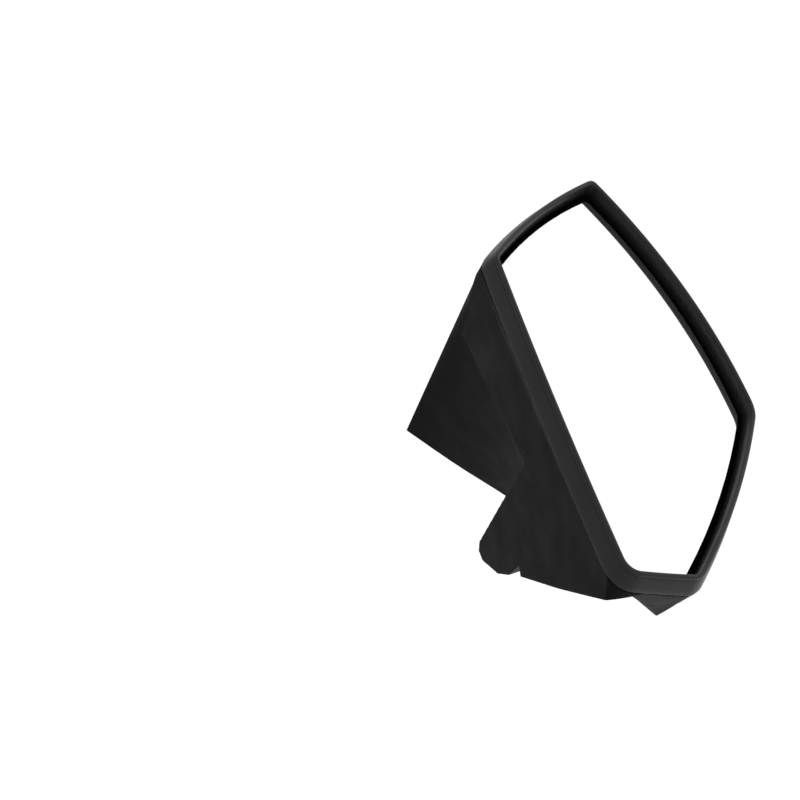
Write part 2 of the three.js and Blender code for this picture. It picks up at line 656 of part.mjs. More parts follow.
const GEAR = { radius: 7.5, half: 3, teeth: 12, notch: 1.6, hub: 4.4, hubHalf: 6, bore: 2.9 };
const WORM = { radius: 2.7, stub: 0.9, bore: 1.2 };
const MOTOR_RADIUS = 5.5;
const PLUNGER = { radius: 2.5, from: -4, to: 21.5 };

function gearSolid(at) {
  const disc = (radius, half, sides) => rod('y', radius, DRIVE_Y - half, DRIVE_Y + half, at, sides);
  let gear = disc(GEAR.radius, GEAR.half, FINE);
  for (let k = 0; k < GEAR.teeth; k += 1) {
    const angle = (k / GEAR.teeth) * 2 * Math.PI;
    const notch = new THREE.BoxGeometry(GEAR.notch, 2 * GEAR.half + PAST, GEAR.notch).rotateY(angle);
    gear = gear.subtract(placed(notch, at[0] + GEAR.radius * Math.cos(angle), DRIVE_Y,
      at[1] - GEAR.radius * Math.sin(angle)));
  }
  return gear.add(disc(GEAR.hub, GEAR.hubHalf)).subtract(disc(GEAR.bore, GEAR.hubHalf + PAST));
}

// a motor and the worm on its shaft; each pair of numbers is a span along the axis
function addMotor(name, axis, at, motor, worm) {
  const shaftEnd = motor[1] - 1.6;
  add(`${name}_motor`, rod(axis, MOTOR_RADIUS, motor[0], motor[1], at)
    .subtract(rod(axis, WORM.bore, motor[1] - 2, motor[1] + PAST, at, COARSE)), 'steel');
  add(`${name}_worm`, rod(axis, WORM.radius, worm[0], worm[1], at)
    .add(rod(axis, WORM.stub, shaftEnd, worm[0] + PAST, at, COARSE)), 'brass');
}

function addDrives() {
  const reach = GEAR.radius + WORM.radius + GAP;
  for (const [name, arm] of [['tilt', TILT], ['turn', TURN]]) {
    const at = drivePlace(arm);
    add(`${name}_gear`, gearSolid(at), 'white');
    const ball = placed(new THREE.SphereGeometry(BALL.radius, 16, 10), at[0], py(BALL.depth), at[1]);
    add(`${name}_plunger`, rod('y', PLUNGER.radius, py(PLUNGER.from), py(PLUNGER.to), at).add(ball), 'white');
  }
  const [tiltX, tiltZ] = drivePlace(TILT);
  const [turnX, turnZ] = drivePlace(TURN);
  addMotor('tilt', 'z', [tiltX - reach, DRIVE_Y], [tiltZ - 31.5, tiltZ - 9.5], [tiltZ - 7.5, tiltZ + 7]);
  addMotor('turn', 'x', [DRIVE_Y, turnZ - reach], [turnX - 24.9, turnX - 9.5], [turnX - 7.5, turnX + 8]);
}

const BRACKET = { thick: 2.7, left: -30, right: 30, low: -20, high: 30, tab: 5 };
const BRACKET_WINDOW = { half: 11, low: -11, high: 11 };
const SOCKET = { halfX: 10, low: 16.5, high: 26.5, length: 12, wall: 1.5 };

function addFrame() {
  const y0 = CASE.back + GAP;
  const y1 = y0 + BRACKET.thick;
  let frame = box(px(BRACKET.left), px(BRACKET.right), y0, y1, pz(BRACKET.low), pz(BRACKET.high))
    .subtract(box(px(-BRACKET_WINDOW.half), px(BRACKET_WINDOW.half), y0 - PAST, y1 + PAST,
      pz(BRACKET_WINDOW.low), pz(BRACKET_WINDOW.high)));
  FRAME_FEET.forEach(([u, w], k) => {
    const at = [px(u), pz(w)];
    frame = frame.add(box(px(u - BRACKET.tab), px(u + BRACKET.tab), y0, y1,
      pz(BRACKET.high - PAST), pz(w + BRACKET.tab)))
      .subtract(rod('y', SCREW.bore, y0 - PAST, y1 + PAST, at, COARSE));
    add(`frame_screw_${k + 1}`, rod('y', SCREW.shank, y0 - 8, y1 + PAST, at, COARSE)
      .add(rod('y', SCREW.head, y1 + GAP, y1 + GAP + SCREW.headHeight, at)), 'steel');
  });
  add('support_frame', frame, 'black');
  const { halfX, low, high, length, wall } = SOCKET;
  add('connector_socket', box(px(-halfX), px(halfX), y1 + GAP, y1 + length, pz(low), pz(high))
    .subtract(box(px(wall - halfX), px(halfX - wall), y1 + 2 * wall, y1 + length + PAST,
      pz(low + wall), pz(high - wall))), 'white');
}

function addFixings() {
  const top = -SEAT_DEPTH - PAD.below - GAP;
  for (const { name, at, axis, hole: [length, width] } of FIXINGS) {
    const outer = oblong(length + SLEEVE.rim, width + SLEEVE.rim, top - SLEEVE.length, top);
    const inner = oblong(length, width, top - SLEEVE.length - PAST, top + PAST);
    add(`fixing_sleeve_${name}`, alongAxis(outer, at, axis).subtract(alongAxis(inner, at, axis)), 'steel');
  }
}

add('bezel_ring', sweptRing(BEZEL_SECTION), 'band');
addShells();
addGlass();
addPivot();
addActuator();
addFrame();
addFixings();

export default head;
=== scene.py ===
"""Looks of the car side mirror head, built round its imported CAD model.

Shapes are worked out in millimetres in the ring's own coordinates (the lower inboard corner of the ring is
the origin, the ring faces -Y, +X is outboard, +Z is up) and moved into the model's frame, in metres.
"""
import math
import bmesh
import bpy
import numpy as np
from mathutils import Matrix, Vector


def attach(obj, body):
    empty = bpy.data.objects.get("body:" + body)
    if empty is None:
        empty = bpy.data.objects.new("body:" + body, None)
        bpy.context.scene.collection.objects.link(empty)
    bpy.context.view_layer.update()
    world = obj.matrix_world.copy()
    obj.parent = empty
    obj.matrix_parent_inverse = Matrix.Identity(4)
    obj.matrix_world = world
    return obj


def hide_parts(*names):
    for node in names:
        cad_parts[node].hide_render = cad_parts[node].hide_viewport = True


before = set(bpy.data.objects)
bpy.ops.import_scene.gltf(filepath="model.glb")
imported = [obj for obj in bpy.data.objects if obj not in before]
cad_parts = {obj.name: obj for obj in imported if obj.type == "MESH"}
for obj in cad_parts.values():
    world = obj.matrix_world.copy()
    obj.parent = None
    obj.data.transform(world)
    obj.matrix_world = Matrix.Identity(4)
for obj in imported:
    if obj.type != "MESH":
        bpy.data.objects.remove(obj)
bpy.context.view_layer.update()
scene = bpy.context.scene

MM = 0.001
ARM_SEAT = np.array([89.0, 105.0, 28.0])     # the model's origin, in ring coordinates

# ---- camera and studio ----------------------------------------------------------------------------
CAMERA_AT = Vector((0.2484, -0.6012, -0.5111))
CAMERA_TO = Vector((-0.0656, -0.0249, -0.0652))
CAMERA_ROLL = math.radians(76.3)
CAMERA_LENS = 67.06
FLOOR_Z = -0.95
FLOOR_SIZE = 30
SKY_LOW = (0.46, (0.25, 0.25, 0.255, 1))     # place in the sky's rise from nadir (0) to zenith (1), colour
SKY_HIGH = (0.60, (1, 1, 1, 1))
SKY_STRENGTH = 1.06


def add_camera():
    data = bpy.data.cameras.new("camera")
    data.lens = CAMERA_LENS
    data.sensor_width = 36
    data.clip_start = 0.01
    camera = bpy.data.objects.new("camera", data)
    scene.collection.objects.link(camera)
    look = (CAMERA_TO - CAMERA_AT).normalized()
    turn = look.to_track_quat("-Z", "Y").to_matrix().to_4x4() @ Matrix.Rotation(CAMERA_ROLL, 4, "Z")
    camera.matrix_world = Matrix.Translation(CAMERA_AT) @ turn
    scene.camera = camera


def add_studio():
    world = bpy.data.worlds.new("studio")
    world.use_nodes = True
    scene.world = world
    nodes, links = world.node_tree.nodes, world.node_tree.links
    nodes.clear()
    out = nodes.new("ShaderNodeOutputWorld")
    sky = nodes.new("ShaderNodeBackground")
    ramp = nodes.new("ShaderNodeValToRGB")
    split = nodes.new("ShaderNodeSeparateXYZ")
    height = nodes.new("ShaderNodeMapRange")
    coords = nodes.new("ShaderNodeTexCoord")
    height.inputs["From Min"].default_value = -1
    links.new(coords.outputs["Generated"], split.inputs[0])
    links.new(split.outputs["Z"], height.inputs["Value"])
    links.new(height.outputs[0], ramp.inputs[0])
    links.new(ramp.outputs[0], sky.inputs["Color"])
    links.new(sky.outputs[0], out.inputs[0])
    set_stops(ramp, SKY_LOW, SKY_HIGH)
    sky.inputs["Strength"].default_value = SKY_STRENGTH

    bpy.ops.mesh.primitive_grid_add(
        x_subdivisions=4, y_subdivisions=4, size=FLOOR_SIZE, location=(0, 0, FLOOR_Z))
    floor = bpy.context.object
    floor.name = "studio_floor"
    material, shader, nodes, links = new_material("floor_paper")
    shader.inputs["Roughness"].default_value = 0.9
    tint(nodes, links, shader, (0.50, 0.50, 0.50), (0.54, 0.54, 0.54), 3, 2)
    floor.data.materials.append(material)


# ---- materials ------------------------------------------------------------------------------------
NOISE_SPAN = (0.3, 0.7)                      # where most of a noise's values lie
GRAIN = 0.00004                              # height of the plastic's grain, in metres
GRAIN_SCALE = 2600


def new_material(name):
    material = bpy.data.materials.new(name)
    material.use_nodes = True
    nodes, links = material.node_tree.nodes, material.node_tree.links
    return material, nodes["Principled BSDF"], nodes, links


def set_stops(ramp, low, high):
    for stop, (position, colour) in zip(ramp.color_ramp.elements, (low, high)):
        stop.position = position
        stop.color = colour


def noise(nodes, links, scale, detail, stretch=None):
    coords = nodes.new("ShaderNodeTexCoord")
    texture = nodes.new("ShaderNodeTexNoise")
    texture.inputs["Scale"].default_value = scale
    texture.inputs["Detail"].default_value = detail
    source = coords.outputs["Object"]
    if stretch:
        mapping = nodes.new("ShaderNodeMapping")
        mapping.inputs["Scale"].default_value = stretch
        links.new(source, mapping.inputs[0])
        source = mapping.outputs[0]
    links.new(source, texture.inputs["Vector"])
    return texture.outputs["Fac"]


def ranged(nodes, links, source, low, high):
    """Spreads a noise over the values from low to high."""
    rescale = nodes.new("ShaderNodeMapRange")
    rescale.inputs["From Min"].default_value = NOISE_SPAN[0]
    rescale.inputs["From Max"].default_value = NOISE_SPAN[1]
    rescale.inputs["To Min"].default_value = low
    rescale.inputs["To Max"].default_value = high
    links.new(source, rescale.inputs["Value"])
    return rescale.outputs[0]


def tint(nodes, links, shader, dark, light, scale, detail):
    ramp = nodes.new("ShaderNodeValToRGB")
    set_stops(ramp, (0.35, (*dark, 1)), (0.65, (*light, 1)))
    links.new(noise(nodes, links, scale, detail), ramp.inputs[0])
    links.new(ramp.outputs[0], shader.inputs["Base Color"])


def bump(nodes, links, shader, source, height):
    node = nodes.new("ShaderNodeBump")
    node.inputs["Distance"].default_value = height
    node.inputs["Strength"].default_value = 1.0
    links.new(source, node.inputs["Height"])
    links.new(node.outputs[0], shader.inputs["Normal"])


def moulded_plastic(name, dark, light, rough, specular=0.45):
    """Satin moulded plastic: a fine spark-eroded grain, faint flow mottling and uneven gloss."""
    material, shader, nodes, links = new_material(name)
    tint(nodes, links, shader, dark, light, 18, 4)
    links.new(ranged(nodes, links, noise(nodes, links, 55, 5), rough - 0.05, rough + 0.06),
              shader.inputs["Roughness"])
    shader.inputs["Specular IOR Level"].default_value = specular
    bump(nodes, links, shader, noise(nodes, links, GRAIN_SCALE, 2), GRAIN)
    return material


def metal(name, dark, light, rough, stretch=(1, 1, 1)):
    material, shader, nodes, links = new_material(name)
    tint(nodes, links, shader, dark, light, 120, 4)
    shader.inputs["Metallic"].default_value = 1.0
    links.new(ranged(nodes, links, noise(nodes, links, 900, 4, stretch=stretch), rough - 0.08, rough + 0.1),
              shader.inputs["Roughness"])
    bump(nodes, links, shader, noise(nodes, links, 1800, 3, stretch=stretch), 0.00002)
    return material


def mirror_material():
    material, shader, nodes, links = new_material("mirror_silvered")
    tint(nodes, links, shader, (0.965, 0.97, 0.972), (0.985, 0.988, 0.988), 12, 3)
    shader.inputs["Metallic"].default_value = 1.0
    links.new(ranged(nodes, links, noise(nodes, links, 30, 4), 0.012, 0.03), shader.inputs["Roughness"])
    return material


def foil_material():
    """Printed heater foil: carbon tracks side by side on an amber film."""
    material, shader, nodes, links = new_material("heater_tracks")
    coords = nodes.new("ShaderNodeTexCoord")
    wave = nodes.new("ShaderNodeTexWave")
    wave.bands_direction = "Z"
    wave.inputs["Scale"].default_value = 90
    wave.inputs["Distortion"].default_value = 0.6
    ramp = nodes.new("ShaderNodeValToRGB")
    set_stops(ramp, (0.45, (0.05, 0.045, 0.04, 1)), (0.55, (0.42, 0.2, 0.07, 1)))
    links.new(coords.outputs["Object"], wave.inputs["Vector"])
    links.new(wave.outputs["Fac"], ramp.inputs[0])
    links.new(ramp.outputs[0], shader.inputs["Base Color"])
    shader.inputs["Roughness"].default_value = 0.4
    return material


# ---- outline of the ring --------------------------------------------------------------------------
RING = [                                     # corner x and z, round length, bulge to the next corner
    (-42.9, 100.4, 6.1, 8.9), (122.3, 100.8, 7.5, 3.6), (196.6, 0.6, 5, 0.2), (181.5, -38.5, 9, 1.4),
    (-4.5, 2.5, 5, 3.7),
]
SIDES = len(RING)
SEAM_Y = 10.8                                # depth of the band, where the housing starts
GAP = 0.3                                    # clearance between touching pieces
FLARE = 3.12                                 # how far the band flares out from rim to seam
SPIGOT_Y = 12.5                              # end of the ring's spigot inside the housing
WALL = 2.6
MOUTH_Y = SEAM_Y + GAP + WALL + 0.1          # depth of the housing's straight mouth
EDGE_STEPS = 30
CORNER_STEPS = 14
LEAST_RADIUS = 2.5                           # of an inset corner
CORNER_HANDLE = 0.6


def unit(v):
    return v / np.linalg.norm(v)


def cross2(a, b):
    return a[0] * b[1] - a[1] * b[0]


def ring_sides(inset):
    """Each side as a quadratic curve's three points, and how far its far corner is cut."""
    corners = np.array([(x, z) for x, z, _, _ in RING], float)
    along = [unit(corners[(i + 1) % SIDES] - corners[i]) for i in range(SIDES)]
    out = [np.array([-a[1], a[0]]) for a in along]
    start = [corners[i] - out[i] * inset for i in range(SIDES)]
    meets, cuts = [], []
    for i in range(SIDES):
        reach = cross2(start[i] - start[i - 1], along[i]) / cross2(along[i - 1], along[i])
        meets.append(start[i - 1] + along[i - 1] * reach)
        turning = math.acos(float(along[i - 1] @ along[i]))
        half = math.tan((math.pi - turning) / 2)
        cuts.append(max(RING[i][2] * half - inset, LEAST_RADIUS) / half)
    sides = []
    for i in range(SIDES):
        j = (i + 1) % SIDES
        a = meets[i] + along[i] * cuts[i]
        b = meets[j] - along[i] * cuts[j]
        sides.append((a, (a + b) / 2 + out[i] * 2 * RING[i][3], b, cuts[j]))
    return sides


def ring_outline(inset):
    sides = ring_sides(inset)
    points, owner = [], []
    for i, (a, m, b, cut) in enumerate(sides):
        for k in range(EDGE_STEPS):
            t = k / EDGE_STEPS
            points.append(a * (1 - t) ** 2 + m * 2 * t * (1 - t) + b * t * t)
            owner.append(i)
        a2, m2 = sides[(i + 1) % SIDES][:2]
        handles = (b, b + unit(b - m) * cut * CORNER_HANDLE, a2 - unit(m2 - a2) * cut * CORNER_HANDLE, a2)
        for k in range(CORNER_STEPS):
            t = k / CORNER_STEPS
            weights = ((1 - t) ** 3, 3 * t * (1 - t) ** 2, 3 * t * t * (1 - t), t ** 3)
            points.append(sum(w * h for w, h in zip(weights, handles)))
            owner.append(i if k < CORNER_STEPS / 2 else (i + 1) % SIDES)
    shift = CORNER_STEPS // 2
    return np.roll(np.array(points), shift, axis=0), np.roll(np.array(owner), shift)


def places_along(points, owner):
    """How far along its own side each outline point lies, from 0 to 1."""
    place = np.zeros(len(points))
    step = np.linalg.norm(np.roll(points, -1, axis=0) - points, axis=1)
    for side in range(SIDES):
        run = np.flatnonzero(owner == side)
        lengths = np.concatenate([[0], np.cumsum(step[run])])
        place[run] = lengths[:-1] / lengths[-1]
    return place


OUTLINE, OWNER = ring_outline(0)
PLACE = places_along(OUTLINE, OWNER)
COUNT = len(OUTLINE)


def ring_loop(inset, y):
    points, _ = ring_outline(inset)
    return np.column_stack([points[:, 0], np.full(COUNT, float(y)), points[:, 1]])


# ---- scratch solids, in millimetres ---------------------------------------------------------------
def solid(points, faces, name="scratch"):
    mesh = bpy.data.meshes.new(name)
    mesh.from_pydata([tuple(p) for p in np.asarray(points, float)], [], faces)
    work = bmesh.new()
    work.from_mesh(mesh)
    bmesh.ops.recalc_face_normals(work, faces=work.faces)
    work.to_mesh(mesh)
    work.free()
    piece = bpy.data.objects.new(name, mesh)
    scene.collection.objects.link(piece)
    return piece


def discard(piece):
    mesh = piece.data
    bpy.data.objects.remove(piece)
    bpy.data.meshes.remove(mesh)


def baked(piece):
    """Applies the piece's modifiers."""
    bpy.context.view_layer.update()
    shaped = piece.evaluated_get(bpy.context.evaluated_depsgraph_get())
    mesh = bpy.data.meshes.new_from_object(shaped)
    old = piece.data
    piece.modifiers.clear()
    piece.data = mesh
    bpy.data.meshes.remove(old)
    return piece


def combine(base, other, how):
    """Applies a boolean to base and uses the other solid up."""
    step = base.modifiers.new("step", "BOOLEAN")
    step.operation = how
    step.solver = "MANIFOLD"
    step.object = other
    baked(base)
    discard(other)
    return base


def join(base, other):
    return combine(base, other, "UNION")


def cut(base, other):
    return combine(base, other, "DIFFERENCE")


def common(base, other):
    return combine(base, other, "INTERSECT")


def copy_of(piece):
    twin = piece.copy()
    twin.data = piece.data.copy()
    scene.collection.objects.link(twin)
    return twin


def loft(loops, end_faces=None):
    count = len(loops[0])
    faces = []
    for row in range(len(loops) - 1):
        for k in range(count):
            a, b = row * count + k, row * count + (k + 1) % count
            faces.append((a, b, b + count, a + count))
    last = (len(loops) - 1) * count
    faces.append(tuple(range(count - 1, -1, -1)))
    faces += [tuple(last + k for k in f) for f in end_faces or [range(count)]]
    return solid(np.vstack(loops), faces)


def ring_plate(inset, y0, y1):
    return loft([ring_loop(inset, y0), ring_loop(inset, y1)])


def swept_ring(section, name):
    rows = [ring_loop(inset, y) for inset, y in section]
    faces = []
    for r in range(len(rows)):
        nxt = (r + 1) % len(rows)
        for k in range(COUNT):
            m = (k + 1) % COUNT
            faces.append((r * COUNT + k, r * COUNT + m, nxt * COUNT + m, nxt * COUNT + k))
    return solid(np.vstack(rows), faces, name)


def prism_parts(outline, z0, z1):
    n = len(outline)
    points = [(x, y, z) for z in (z0, z1) for x, y in outline]
    faces = [tuple(range(n)), tuple(range(2 * n - 1, n - 1, -1))]
    faces += [(k, (k + 1) % n, n + (k + 1) % n, n + k) for k in range(n)]
    return points, faces


def prism(outline, z0, z1):
    return solid(*prism_parts(outline, z0, z1))


def frame_along(axis):
    return Vector((0, 0, 1)).rotation_difference(Vector(axis).normalized()).to_matrix()


def turned(points, at, axis):
    turn = np.array(frame_along(axis))
    return np.asarray(points, float) @ turn.T + np.asarray(at, float)


def half_space(point, normal, size=600):
    h = size / 2
    corners = [(x, y, z) for z in (0, size) for x, y in ((-h, -h), (h, -h), (h, h), (-h, h))]
    faces = [(0, 1, 2, 3), (4, 7, 6, 5), (0, 4, 5, 1), (1, 5, 6, 2), (2, 6, 7, 3), (3, 7, 4, 0)]
    return solid(turned(corners, point, normal), faces)


def oblong(length, width, steps=20):
    """Outline of a slot, long way along Y."""
    r, h = width / 2, (length - width) / 2
    first = [(r * math.cos(a), h + r * math.sin(a)) for a in np.linspace(0, math.pi, steps)]
    second = [(-x, -y) for x, y in first]
    return first + second


def oblong_cutter(length, width, z0, z1, at, axis):
    points, faces = prism_parts(oblong(length, width), z0, z1)
    return solid(turned(points, at, axis), faces)


def smooth_line(points, steps=8):
    """A rounded line through the points."""
    pts = np.asarray(points, float)
    pts = np.vstack([2 * pts[0] - pts[1], pts, 2 * pts[-1] - pts[-2]])
    line = []
    for i in range(1, len(pts) - 2):
        p0, p1, p2, p3 = pts[i - 1:i + 3]
        for k in range(steps):
            t = k / steps
            line.append(0.5 * (2 * p1 + (p2 - p0) * t + (2 * p0 - 5 * p1 + 4 * p2 - p3) * t * t
                               + (3 * p1 - p0 - 3 * p2 + p3) * t ** 3))
    line.append(pts[-2])
    return np.array(line)


# ---- the housing ----------------------------------------------------------------------------------
FAR_EDGE = [                                 # upper edge of the thin far end, inboard to outboard tip
    (-21, 202, 52), (12, 199, 68.5), (58.5, 182.5, 81), (102, 152.5, 69), (151, 97, 37), (190, 54, 11),
]
FAR_THICK = (10, 7)                          # its thickness, inboard and at the tip
FAR_LEAN = (5, 9)                            # how far its lower edge is set in, along X and Y
SKIN_IN = (1.4, 1.3)                         # how far an inset moves the edge inwards, along X and Y
FAR_SHARE = 0.72                             # share of the far edge that faces the ring's top side
FOLD_AT = 0.35                               # where the fold to the tip starts on the ring's outboard side
LOFT_ROWS = 48
SHARPEST = 0.35                              # limits how far a sharp corner moves in an inset outline
ARM_FACE = {"x": 0.7, "z": -2.2, "slope_x": -0.215, "slope_y": 0.262}
CREASE = [(-5.5, 67), (92, 52)]              # near wall of the arm pocket
LEG = [(92, 40), (84.5, 155), (87.5, 161.5), (94, 161), (110, 145.5), (127, 114), (127, 40)]
LEG_NOTCH = [(116, 142), (122, 110), (128, 115), (140, 132)]
ARM_BODY = [(-6, SEAM_Y + GAP), CREASE[0], CREASE[1], (127, 114), (155, 70), (190, SEAM_Y + GAP)]
PRISM_LOW, PRISM_HIGH = -90, 130             # the plan cutters run between these heights
PARTING = {                                  # near ends as x and z; from and to are shares of the way back
    "near_in": (-45, 7), "near_out": (245, -5), "spread": 60, "from": -0.1, "to": 1.2, "floor": -120,
    "columns": 41, "rows": 15,
}
PARTING_GAP = 0.25                           # half of the joint between the two shells
PANEL_STEP = 4.2                             # how proud the panel stands of the flange
PANEL_RISE = 0.3                             # share of the way back over which it rises to that
PANEL_EDGE = [(-70, 162), (-25.7, 149.3), (13, 138.8), (58, 126.8), (68.6, 121.3), (78, 112.7),
              (83.5, 106), (90.9, 93.4), (110.6, 62.1), (133.2, 32.2), (144.8, 19)]
PANEL_LOW = 20                               # the panel's cutter starts above the lower face
SEAT_DEPTH = 2.2
CUT_TOP = 30                                 # a fixing's cutters reach from here down along its axis
HOLE_BOTTOM = -14
PAD = {"margin": 4, "thick": 3.6, "below": 2.6}
FIXINGS = [
    {"at": (3.6, 162.5, 71.6), "axis": (-0.35, 0.26, 1), "seat": (34, 26), "hole": (15.5, 10.8)},
    {"at": (139.6, 69.4, 57.6), "axis": (0.99, 0.41, 1), "seat": (33, 29), "hole": (15.5, 10.8)},
]
CLIPS = [
    {"at": (16, 133.8), "floor": 81, "width": 8, "length": 10, "turn": -0.12},
    {"at": (84.3, 92.5), "floor": 82, "width": 10, "length": 25, "turn": -0.16},
]
FAR_SLOT = {"from": 0.02, "to": 0.17, "outer": -1.4, "inner": -6, "bottom": 0.55}


def centripetal_curve(points, steps=80, samples=400):
    """Centripetal Catmull-Rom line through the points, evenly spaced by length."""
    p = np.asarray(points, float)
    p = np.vstack([2 * p[0] - p[1], p, 2 * p[-1] - p[-2]])
    line = []
    for i in range(1, len(p) - 2):
        a, b, c, d = p[i - 1:i + 3]
        d0, d1, d2 = (math.sqrt(np.linalg.norm(v)) for v in (b - a, c - b, d - c))
        t1 = ((b - a) / d0 - (c - a) / (d0 + d1) + (c - b) / d1) * d1
        t2 = ((c - b) / d1 - (d - b) / (d1 + d2) + (d - c) / d2) * d1
        for t in np.linspace(0, 1, steps, endpoint=False):
            line.append(b + t1 * t + (-3 * b + 3 * c - 2 * t1 - t2) * t ** 2
                        + (2 * b - 2 * c + t1 + t2) * t ** 3)
    line.append(p[-2])
    line = np.array(line)
    length = np.concatenate([[0], np.cumsum(np.linalg.norm(np.diff(line, axis=0), axis=1))])
    even = np.linspace(0, length[-1], samples)
    return np.column_stack([np.interp(even, length, line[:, i]) for i in range(3)])


FAR_LINE = centripetal_curve(FAR_EDGE)


def far_point(t, drop, inset):
    t = min(max(t, 0), 1)
    at = [np.interp(t * (len(FAR_LINE) - 1), range(len(FAR_LINE)), FAR_LINE[:, i]) for i in range(3)]
    thick = FAR_THICK[0] + (FAR_THICK[1] - FAR_THICK[0]) * t - 2 * inset
    return np.array([at[0] + inset * SKIN_IN[0] * (1 - 2 * t) + FAR_LEAN[0] * drop * (1 - t),
                     at[1] - SKIN_IN[1] * inset - FAR_LEAN[1] * drop, at[2] - inset - drop * thick])


def far_t(k):
    if OWNER[k] == 0:
        return PLACE[k] * FAR_SHARE
    if OWNER[k] == 1:
        return FAR_SHARE + min(PLACE[k] / FOLD_AT, 1) * (1 - FAR_SHARE)
    return {2: 1.0, 3: 1 - PLACE[k], 4: 0.0}[int(OWNER[k])]


def far_loop(inset):
    drops = {0: lambda u: 0, 1: lambda u: 0, 2: lambda u: u, 3: lambda u: 1, 4: lambda u: 1 - u}
    return np.array([far_point(far_t(k), drops[int(OWNER[k])](PLACE[k]), inset) for k in range(COUNT)])


def end_faces():
    """Triangles of the thin end face, zipped between its upper and its lower edge."""
    upper = [k for k in range(COUNT) if OWNER[k] < 2]
    tip = [k for k in range(COUNT) if OWNER[k] == 2]
    lower = [k for k in range(COUNT) if OWNER[k] == 3][::-1]
    butt = [k for k in range(COUNT) if OWNER[k] == 4]
    top, bottom = [*upper, tip[0]], [butt[0], *lower]
    faces = []
    i = j = 0
    while i + 1 < len(top) or j + 1 < len(bottom):
        step_top = j + 1 >= len(bottom) or (i + 1 < len(top) and far_t(top[i + 1]) <= far_t(bottom[j + 1]))
        if step_top:
            faces.append((top[i], top[i + 1], bottom[j]))
            i += 1
        else:
            faces.append((top[i], bottom[j + 1], bottom[j]))
            j += 1
    for fan in ([*tip, lower[-1]], [*butt, upper[0]]):
        faces += [(fan[0], fan[k], fan[k + 1]) for k in range(1, len(fan) - 1)]
    return faces


END_FACES = end_faces()


def housing_loft(seam_inset, seam_y, far_inset, lift=None):
    near, far = ring_loop(seam_inset, seam_y), far_loop(far_inset)
    loops = []
    for v in np.linspace(0, 1, LOFT_ROWS):
        loop = near + (far - near) * v
        if lift:
            loop[OWNER < 2, 2] += lift(v)
        loops.append(loop)
    return loft(loops, END_FACES)


def lifted_panel(v):
    u = min(max(v / PANEL_RISE, 0), 1)
    return PANEL_STEP * u * u * (3 - 2 * u)


def arm_face_z(x, y):
    return ARM_FACE["z"] + ARM_FACE["slope_x"] * (x - ARM_FACE["x"]) + ARM_FACE["slope_y"] * (y - SEAM_Y)


def below_arm_face(lift):
    return half_space((ARM_FACE["x"], SEAM_Y, ARM_FACE["z"] + lift),
                      (ARM_FACE["slope_x"], ARM_FACE["slope_y"], -1))


def under_parting(shift):
    """Everything under the surface where the two shells meet."""
    columns, rows, floor = PARTING["columns"], PARTING["rows"], PARTING["floor"]
    top = []
    for v in np.linspace(PARTING["from"], PARTING["to"], rows):
        for t in np.linspace(0, 1, columns):
            (x0, z0), (x1, z1) = PARTING["near_in"], PARTING["near_out"]
            near = np.array([x0 + (x1 - x0) * t, SEAM_Y, z0 + (z1 - z0) * t])
            far = far_point(t, 0.5, 0) + np.array([(t - 0.5) * PARTING["spread"], 0, 0])
            top.append(near + (far - near) * v + np.array([0, 0, shift]))
    top = np.array(top)
    base = top.copy()
    base[:, 2] = floor
    total = len(top)
    faces = []
    for r in range(rows - 1):
        for c in range(columns - 1):
            a = r * columns + c
            faces.append((a, a + 1, a + columns + 1, a + columns))
            faces.append((total + a, total + a + columns, total + a + columns + 1, total + a + 1))
    for c in range(columns - 1):
        for a in (c, (rows - 1) * columns + c):
            faces.append((a, a + 1, total + a + 1, total + a))
    for r in range(rows - 1):
        for a in (r * columns, r * columns + columns - 1):
            faces.append((a, a + columns, total + a + columns, total + a))
    return solid(np.vstack([top, base]), faces)


def inset_outline(outline, by):
    pts = np.asarray(outline, float)
    nxt, prv = np.roll(pts, -1, axis=0), np.roll(pts, 1, axis=0)
    side = np.sign(np.sum(pts[:, 0] * nxt[:, 1] - nxt[:, 0] * pts[:, 1]))
    moved = []
    for p, a, b in zip(pts, prv, nxt):
        u, w = unit(p - a), unit(b - p)
        bend = max(1 + float(u @ w), SHARPEST)
        moved.append(p + side * by * np.array([-u[1] - w[1], u[0] + w[0]]) / bend)
    return moved


def arm_body(inset):
    body = prism(inset_outline(ARM_BODY, inset), PRISM_LOW, PRISM_HIGH)
    body = join(body, prism(inset_outline(LEG, inset), PRISM_LOW, PRISM_HIGH))
    body = cut(body, prism(inset_outline(LEG_NOTCH, -inset), PRISM_LOW, PRISM_HIGH))
    body = cut(body, below_arm_face(inset))
    return common(body, ring_plate(inset - FLARE, SEAM_Y + GAP - inset, FAR_EDGE[0][1]))


def housing_solid():
    wing = housing_loft(-FLARE, SEAM_Y + GAP, 0)
    panel = housing_loft(-FLARE, SEAM_Y + GAP, 0, lifted_panel)
    edge = [tuple(p) for p in smooth_line(PANEL_EDGE)]
    corners = [(PANEL_EDGE[-1][0], 0), (PANEL_EDGE[0][0], 0)]
    panel = common(panel, prism([*edge, *corners], PANEL_LOW, PRISM_HIGH))
    under = under_parting(0)
    return join(join(wing, panel), common(arm_body(0), under))


def housing_hollow():
    wing = housing_loft(WALL - FLARE, SEAM_Y - 2, WALL)
    wing = join(wing, ring_plate(WALL - FLARE, SEAM_Y - 3, MOUTH_Y))
    inner = common(arm_body(WALL), under_parting(0))
    inner = cut(inner, half_space((0, SEAM_Y + 1, 0), (0, -1, 0)))
    return join(wing, inner)


